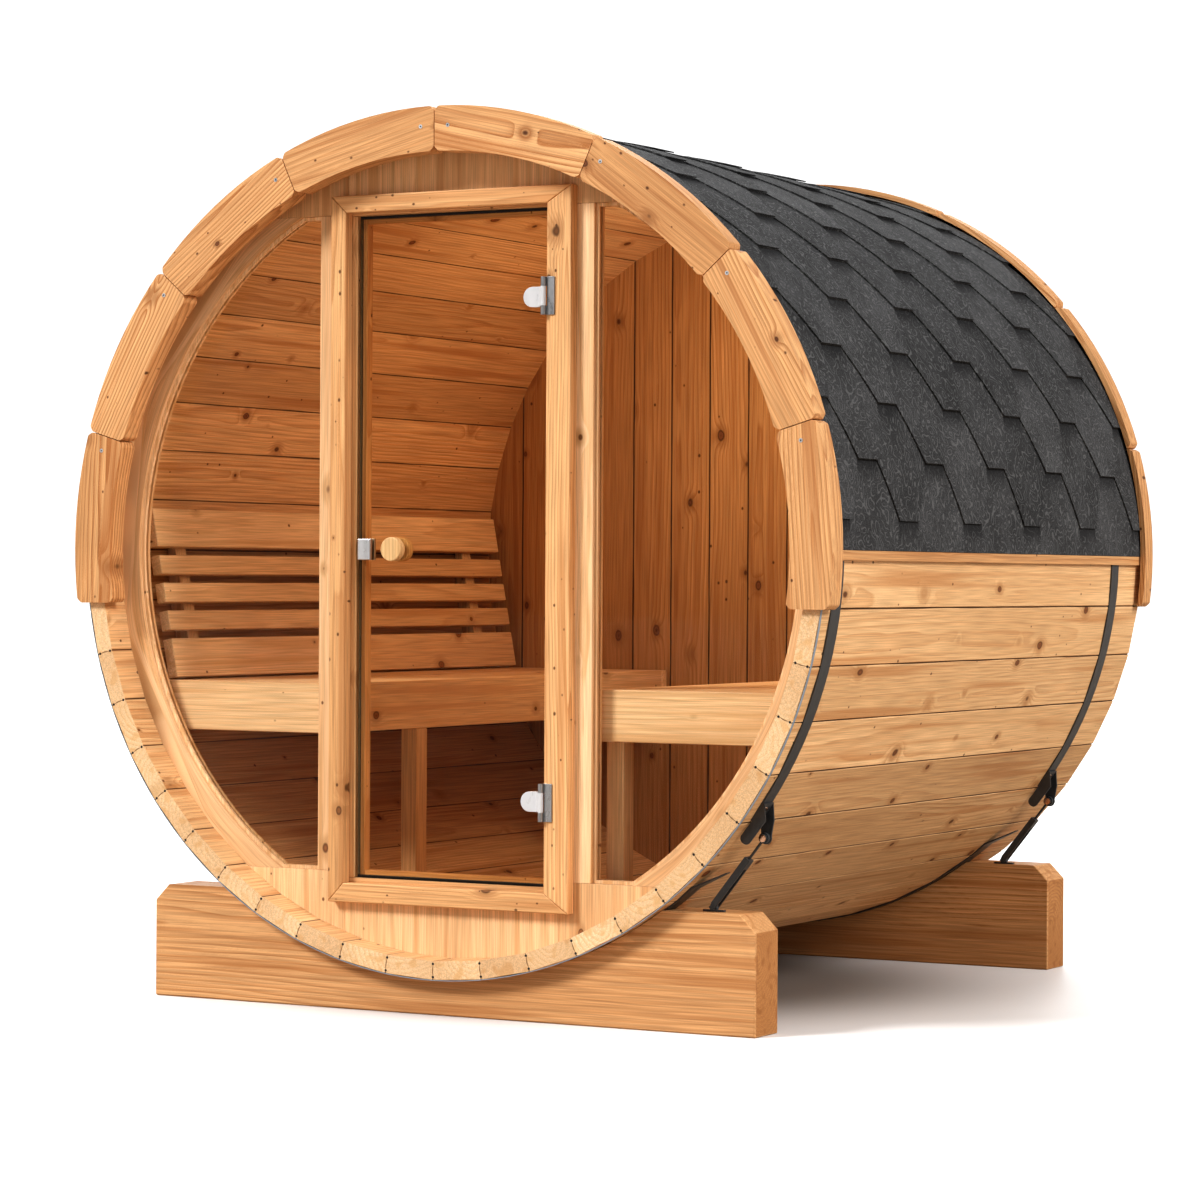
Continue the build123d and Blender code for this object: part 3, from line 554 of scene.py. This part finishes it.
def eased(
    node, material,
    ease=0.0, grain=box_grain, body="root", segments=2, spare=0.0, end_material=None, end_axis=1, corner=0.0,
):
    """A copy of a CAD node in its place, with sharp edges rounded by ease and with wood grain."""
    bm = bmesh.new()
    bm.from_mesh(nodes[node].data)
    for layer in list(bm.loops.layers.uv.values()):
        bm.loops.layers.uv.remove(layer)
    bmesh.ops.remove_doubles(bm, verts=bm.verts, dist=merge_distance)
    bmesh.ops.dissolve_limit(bm, angle_limit=flat_angle, verts=bm.verts, edges=bm.edges)
    if corner:
        round_corners(bm, corner)
    if ease:
        sharp = [edge for edge in bm.edges if edge.is_manifold and edge.calc_face_angle() > sharp_angle]
        sharp = [edge for edge in sharp if min(from_axis(vertex.co) for vertex in edge.verts) > spare]
        bmesh.ops.bevel(
            bm, geom=sharp, offset=ease, offset_type="OFFSET", segments=segments, profile=0.5, affect="EDGES",
            clamp_overlap=True,
        )
    if grain:
        add_grain(bm, grain)
    for face in bm.faces:
        face.material_index = 1 if end_material and abs(face.normal[end_axis]) > end_share else 0
    materials = [material, end_material] if end_material else [material]
    piece = finish_mesh(f"{node}_shown", bm, materials, body)
    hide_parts(node)
    return piece


def lay_on_staves(piece):
    """Brings the inner face of a round band down to the flat staves under it."""
    seat = 0.0003  # depth in the staves
    for vertex in piece.data.vertices:
        radius = from_axis(vertex.co)
        if radius < band_radius - band_thickness / 2:
            angle = math.atan2(vertex.co.x, vertex.co.z - axis_z)
            off_middle = angle % stave_step - stave_step / 2
            share = (barrel_radius * math.cos(stave_step / 2) / math.cos(off_middle) - seat) / radius
            vertex.co.x *= share
            vertex.co.z = axis_z + (vertex.co.z - axis_z) * share


for place in ("right_upper", "right_lower", "floor", "left_lower", "left_upper", "roof"):
    eased(f"{place}_staves", stave_wood, grain=stave_grain, end_material=end_wood)
for node in ("front_arch", "rear_arch"):
    eased(node, arch_wood, ease=0.004, grain=arch_grain, segments=3, corner=0.0065)
for node in ("cradle_front", "cradle_rear"):
    eased(node, cradle_wood, ease=0.004, spare=cradle_spare, end_material=cradle_end_wood, end_axis=0)
for node in ("front_wall_head", "front_wall_sill"):
    eased(node, panel_wood, ease=0.001, grain=upright_grain)
for node in ("front_wall_left_post", "front_wall_right_post"):
    eased(node, wall_wood, ease=0.001)
for node in ("front_wall_left_rim", "front_wall_right_rim"):
    eased(node, wall_wood, grain=bent_grain)
eased("window_beads", wall_wood)
for node in ("door_casing", "door_jambs", "door_stops"):
    eased(node, frame_wood, ease=0.0012)
eased("rear_wall_boards", lining_wood, ease=0.002)
# The battens take the darker cradle wood: painted shade under the eaves
eased("eave_battens", cradle_wood, ease=0.001)
for side in ("left", "right"):
    for part in ("bench_seat", "bench_frame", "backrest_slats", "backrest_uprights"):
        eased(f"{side}_{part}", bench_wood, ease=0.003)
eased("door_knob", knob_wood, ease=0.003, grain=upright_grain, body="door", segments=3)
for side in ("front", "rear"):
    lay_on_staves(eased(f"{side}_band", band_steel, grain=None))
    eased(f"{side}_tensioner", band_steel, grain=None)
eased("front_edge_strip", edge_steel, grain=None)
eased("hinge_frame_leaves", leaf_steel, ease=0.0008, grain=None)
eased("door_hinges", hinge_paint, ease=0.0018, grain=None, body="door", segments=3)
eased("door_catch", bright_steel, ease=0.0012, grain=None, body="door")

# Glass keeps its CAD mesh, and the door's sheet shows a dark edge
panes = {"window_left": window_glass, "window_right": window_glass, "door_glass": door_glass}
for node, material in panes.items():
    nodes[node].data.materials.clear()
    nodes[node].data.materials.append(material)
nodes["door_glass"].data.materials.append(glass_edge)
for face in nodes["door_glass"].data.polygons:
    face.material_index = 1 if abs(face.normal.y) < 0.5 else 0


# Shingles: rows of six-sided tabs on each side, under a ridge of lapped caps

def tab_phase(place, offset):
    """Where a place lies in its tab, with the tab's middle at a half."""
    return (place - tab_middle) / tab_pitch + offset + 0.5


def row_edge(place, feet, offset):
    """The angle of a row's lower edge at a place along the roof."""
    from_tab = abs(tab_phase(place, offset) % 1.0 - 0.5)
    half_flat = tab_flat_share / 2
    slope = min(max((from_tab - half_flat) / (0.5 - 2 * half_flat), 0.0), 1.0)
    return min(feet - slope * row_angle, eave_angle)


def row_places(offset):
    """Places along the roof where a row's edge turns, with two more between each pair."""
    half_flat = tab_flat_share / 2
    turns = {roof_front, roof_rear}
    for tab in range(-4, 5):
        for corner in (half_flat, 0.5 - half_flat, 0.5 + half_flat, 1.0 - half_flat):
            place = tab_middle + (tab + corner - offset - 0.5) * tab_pitch
            if roof_front < place < roof_rear:
                turns.add(place)
    ordered = sorted(turns)
    places = []
    for low, high in zip(ordered, ordered[1:]):
        places += [low, low + (high - low) / 3, low + (high - low) * 2 / 3]
    return places + [roof_rear]


def shingle_row(bm, tone, side, feet, offset, straight):
    """One row as a thin closed sheet that lies on the row below it, with its feet a little raised."""
    top = feet - row_laps * row_angle
    places = row_places(offset)
    shades = [random.Random(int(feet * 10) * 20 + tab + 10 * side).random() for tab in range(12)]
    columns = []
    for place in places:
        foot = min(feet, eave_angle) if straight else row_edge(place, feet, offset)
        shade = shades[math.floor(tab_phase(place, offset) + 1e-6) % len(shades)]
        column = []
        for layer in (1, 0):
            for step in range(row_steps + 1):
                angle = top + (foot - top) * step / row_steps
                share = (angle - top) / (row_laps * row_angle)
                radius = skin_radius + felt_gap + felt_rise * share**felt_curl + felt_thickness * layer
                turn = math.radians(angle) * side
                vertex = bm.verts.new((radius * math.sin(turn), place, axis_z + radius * math.cos(turn)))
                vertex[tone] = shade
                column.append(vertex)
        columns.append(column)
    count = row_steps + 1
    for left, right in zip(columns, columns[1:]):
        for step in range(row_steps):
            bm.faces.new((left[step], left[step + 1], right[step + 1], right[step]))
            low = count + step
            bm.faces.new((left[low], right[low], right[low + 1], left[low + 1]))
        bm.faces.new((left[row_steps], left[count + row_steps], right[count + row_steps], right[row_steps]))
        bm.faces.new((left[0], right[0], right[count], left[count]))
    for column, flip in ((columns[0], False), (columns[-1], True)):
        for step in range(row_steps):
            corners = (column[step], column[count + step], column[count + step + 1], column[step + 1])
            bm.faces.new(corners[::-1] if flip else corners)


def build_shingles(side, name, node):
    """All rows of one side of the roof."""
    bm = bmesh.new()
    tone = bm.verts.layers.float.new("board")
    feet = lowest_feet + row_angle
    number = 0
    while feet > row_angle:
        shingle_row(bm, tone, side, feet, 0.5 * (number % 2), number == 0)
        feet -= row_angle
        number += 1
    bmesh.ops.recalc_face_normals(bm, faces=bm.faces)
    piece = finish_mesh(name, bm, [shingle])
    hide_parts(node)


def build_ridge():
    """Caps that lap one another along the ridge."""
    bm = bmesh.new()
    tone = bm.verts.layers.float.new("board")
    cap_count = 8
    reach = 8.5  # degrees to each side
    lap = 1.25  # a cap's length in pitches
    lifts = (4.2, 3.0)  # of a cap's front and back, in felts
    pitch = (roof_rear - roof_front) / cap_count
    steps = 10
    for number in range(cap_count):
        start = roof_front + number * pitch
        end = min(start + pitch * lap, roof_rear)
        shade = draws.random()
        rings = []
        for place, lift in zip((start, end), lifts):
            for layer in (1.0, 0.0):
                ring = []
                for step in range(steps + 1):
                    turn = math.radians(-reach + 2 * reach * step / steps)
                    radius = skin_radius + felt_thickness * (lift - 1.0 + layer)
                    vertex = bm.verts.new((radius * math.sin(turn), place, axis_z + radius * math.cos(turn)))
                    vertex[tone] = shade
                    ring.append(vertex)
                rings.append(ring)
        front_top, front_low, back_top, back_low = rings
        sides = ((front_top, back_top), (back_low, front_low), (front_low, front_top), (back_top, back_low))
        for step in range(steps):
            for one, two in sides:
                bm.faces.new((one[step], one[step + 1], two[step + 1], two[step]))
        for step in (0, steps):
            bm.faces.new((front_top[step], back_top[step], back_low[step], front_low[step]))
    bmesh.ops.recalc_face_normals(bm, faces=bm.faces)
    piece = finish_mesh("ridge_caps", bm, [shingle])
    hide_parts("roof_ridge")


build_shingles(1, "shingles_right", "roof_courses_right")
build_shingles(-1, "shingles_left", "roof_courses_left")
build_ridge()


def add_disc(bm, centre, normal, radius, height, sides=12, material=0):
    """A short round stud."""
    turn = Vector(normal).to_track_quat("Z", "Y").to_matrix().to_4x4()
    place = Matrix.Translation(Vector(centre) + Vector(normal) * (height / 2)) @ turn
    made = bmesh.ops.create_cone(
        bm, cap_ends=True, segments=sides, radius1=radius, radius2=radius, depth=height, matrix=place
    )
    for face in {face for vertex in made["verts"] for face in vertex.link_faces}:
        face.material_index = material


def add_strip(bm, low, high):
    """A thin bar between two corners."""
    size = Vector(high) - Vector(low)
    place = Matrix.Translation((Vector(low) + Vector(high)) / 2) @ Matrix.Diagonal((*size, 1.0))
    bmesh.ops.create_cube(bm, size=1.0, matrix=place)


def build_arch_screws():
    """A screw near the upper end of each arch board, standing a hair proud of the outer face."""
    bm = bmesh.new()
    from_end = 0.042
    for node, outward in (("front_arch", -1.0), ("rear_arch", 1.0)):
        boards = bmesh.new()
        boards.from_mesh(nodes[node].data)
        bmesh.ops.remove_doubles(boards, verts=boards.verts, dist=merge_distance)
        boards.verts.index_update()
        for group in islands(boards):
            points = np.array([vertex.co[:] for vertex in group])
            middle, rise, sideways = around(points)
            upward = -sideways if middle[0] > 0 else sideways
            local = points - np.array([0.0, 0.0, axis_z])
            reach = ((local @ upward).max() - from_end) * upward
            height = ((local @ rise).max() + (local @ rise).min()) / 2 * rise
            face = points[:, 1].max() if outward > 0 else points[:, 1].min()
            centre = reach + height + np.array([0.0, face, axis_z])
            add_disc(bm, centre, (0, outward, 0), *screw_head)
            # The drive is a dark disc standing on the head: painted shade for its recess
            add_disc(bm, centre, (0, outward, 0), *screw_drive, sides=8, material=1)
        boards.free()
    finish_mesh("arch_screws", bm, [bright_steel, hole_shade])


def build_bolt_heads():
    """A bright dome on each tension bolt, and rivets that hold the bracket to the band."""
    bm = bmesh.new()
    flange_room = (0.006, 0.0275)  # from the front flange's face, where only the bolt's head has corners
    rivet_distances = (0.04, 0.058)  # before the bolt, along the band
    bracket_rise = 0.0043
    for node in ("front_tensioner", "rear_tensioner"):
        fittings = bmesh.new()
        fittings.from_mesh(nodes[node].data)
        bmesh.ops.remove_doubles(fittings, verts=fittings.verts, dist=merge_distance)
        fittings.verts.index_update()
        groups = [np.array([vertex.co[:] for vertex in group]) for group in islands(fittings)]
        fittings.free()
        bracket = min(groups, key=lambda points: points[:, 1].min())
        near = bracket[:, 1].min()
        room = (bracket[:, 1] > near + flange_room[0]) & (bracket[:, 1] < near + flange_room[1])
        centre = Vector(bracket[room].mean(0))
        for radius, height in bolt_dome:
            add_disc(bm, centre, (0, -1, 0), radius, height, sides=16)
        middle = (near + bracket[:, 1].max()) / 2
        for distance in rivet_distances:
            angle = math.atan2(centre.x, centre.z - axis_z) - distance / band_radius
            outward = Vector((math.sin(angle), 0.0, math.cos(angle)))
            place = Vector((0.0, middle, axis_z)) + outward * (band_radius + bracket_rise)
            add_disc(bm, place, outward, *rivet_head)
    finish_mesh("bolt_heads", bm, [bolt_steel])


def build_door_seal():
    """A dark rubber strip on the stops, behind the edges of the door's glass."""
    bm = bmesh.new()
    width = 0.0065
    thickness = 0.002
    low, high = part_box("door_stops")
    near = low[1] - thickness
    add_strip(bm, (low[0], near, low[2]), (low[0] + width, low[1], high[2]))
    add_strip(bm, (high[0] - width, near, low[2]), (high[0], low[1], high[2]))
    add_strip(bm, (low[0] + width, near, high[2] - width), (high[0] - width, low[1], high[2]))
    add_strip(bm, (low[0] + width, near, low[2]), (high[0] - width, low[1], low[2] + width))
    finish_mesh("door_seal", bm, [seal_rubber])


def build_joint_marks():
    """Small dark discs at both ends of the stave joints, on the front of the barrel's lower half: painted
    shade for the hollows there.
    """
    bm = bmesh.new()
    inset = 0.006
    for number in range(stave_count):
        angle = math.radians(360.0 * number / stave_count)
        if math.cos(angle) > -0.1:
            continue
        for radius in (barrel_radius - stave_thickness + inset, barrel_radius - inset):
            x = radius * math.sin(angle)
            z = axis_z + radius * math.cos(angle)
            add_disc(bm, (x, front_y, z), (0, -1, 0), *joint_mark)
    finish_mesh("joint_marks", bm, [hole_shade])


build_joint_marks()
build_arch_screws()
build_bolt_heads()
build_door_seal()


def build_stage():
    """A pale floor far larger than the object, with a painted shadow under it, white surroundings, three soft
    suns and a cabin lamp.
    """
    look = Look("floor_paint")
    speck = look.noise(look.node("TexCoord").outputs["Object"], 3.0, 3.0)
    tint = look.ramp(speck, (0.2, (0.84, 0.84, 0.84)), (0.8, (0.87, 0.87, 0.87)))
    far = look.vector("LENGTH", look.node("TexCoord").outputs["Object"])
    # Painted shadow: the floor darkens to a deep grey within about a metre of the middle, under the object
    tint = look.mix(look.spread(far, 0.45, 1.2), (0.16, 0.15, 0.14), tint)
    seen = look.node("LightPath").outputs["Is Camera Ray"]
    white = look.math("MULTIPLY", look.spread(far, 1.1, 2.8), seen)
    tint = look.mix(white, tint, (0.0, 0.0, 0.0))
    # Rays other than the camera's see a darker warm brown floor, which dims and warms the light bounced onto
    # the object
    tint = look.mix(seen, (0.4, 0.32, 0.25), tint)
    look.set(
        Base_Color=tint, Roughness=0.42, Specular_IOR_Level=0.3,
        Emission_Color=(1.0, 1.0, 1.0), Emission_Strength=white,
    )
    bm = bmesh.new()
    bmesh.ops.create_grid(bm, x_segments=1, y_segments=1, size=80.0)
    mesh = bpy.data.meshes.new("floor")
    bm.to_mesh(mesh)
    bm.free()
    mesh.materials.append(look.material)
    floor = bpy.data.objects.new("floor", mesh)
    bpy.context.scene.collection.objects.link(floor)

    world = bpy.data.worlds.new("studio")
    world.use_nodes = True
    tree = world.node_tree
    room = tree.nodes["Background"]
    room.inputs["Color"].default_value = (1.0, 1.0, 1.0, 1.0)
    room.inputs["Strength"].default_value = 0.42
    paper = tree.nodes.new("ShaderNodeBackground")
    paper.inputs["Color"].default_value = (1.0, 1.0, 1.0, 1.0)
    paper.inputs["Strength"].default_value = 1.0
    seen = tree.nodes.new("ShaderNodeLightPath")
    choice = tree.nodes.new("ShaderNodeMixShader")
    tree.links.new(seen.outputs["Is Camera Ray"], choice.inputs[0])
    tree.links.new(room.outputs[0], choice.inputs[1])
    tree.links.new(paper.outputs[0], choice.inputs[2])
    tree.links.new(choice.outputs[0], tree.nodes["World Output"].inputs["Surface"])
    bpy.context.scene.world = world
    for name, aim, energy, angle in (
        ("key", (0.42, 0.66, -0.62), 2.75, 16.0),
        ("side", (-0.82, 0.1, -0.56), 2.5, 26.0),
        ("back", (0.45, -0.75, -0.48), 0.9, 40.0),
    ):
        light = bpy.data.lights.new(name, "SUN")
        light.energy = energy
        light.angle = math.radians(angle)
        lamp = bpy.data.objects.new(name, light)
        lamp.rotation_euler = Vector(aim).to_track_quat("-Z", "Y").to_euler()
        bpy.context.scene.collection.objects.link(lamp)
    glow = bpy.data.lights.new("cabin_glow", "POINT")
    glow.energy = 12.0
    glow.color = (1.0, 0.9, 0.76)
    glow.shadow_soft_size = 0.25
    lamp = bpy.data.objects.new("cabin_glow", glow)
    lamp.location = (0.2, 0.2, axis_z + 0.4)
    lamp.visible_camera = False
    lamp.visible_glossy = False
    bpy.context.scene.collection.objects.link(lamp)


def build_camera():
    """The photograph's camera."""
    ahead = Vector(
        (
            -math.cos(camera_pitch) * math.sin(camera_yaw),
            math.cos(camera_pitch) * math.cos(camera_yaw),
            -math.sin(camera_pitch),
        )
    )
    level = Vector((math.cos(camera_yaw), math.sin(camera_yaw), 0.0))
    upright = level.cross(ahead)
    right = level * math.cos(camera_roll) + upright * math.sin(camera_roll)
    up = upright * math.cos(camera_roll) - level * math.sin(camera_roll)
    data = bpy.data.cameras.new("camera")
    data.sensor_width = sensor_width
    data.lens = sensor_width * focal_pixels / image_side
    camera = bpy.data.objects.new("camera", data)
    camera.matrix_world = Matrix((right, up, -ahead)).transposed().to_4x4()
    camera.location = camera_place
    bpy.context.scene.collection.objects.link(camera)
    bpy.context.scene.camera = camera


build_stage()
build_camera()
bpy.context.scene.view_settings.view_transform = "Standard"
bpy.context.scene.view_settings.look = "Medium High Contrast"
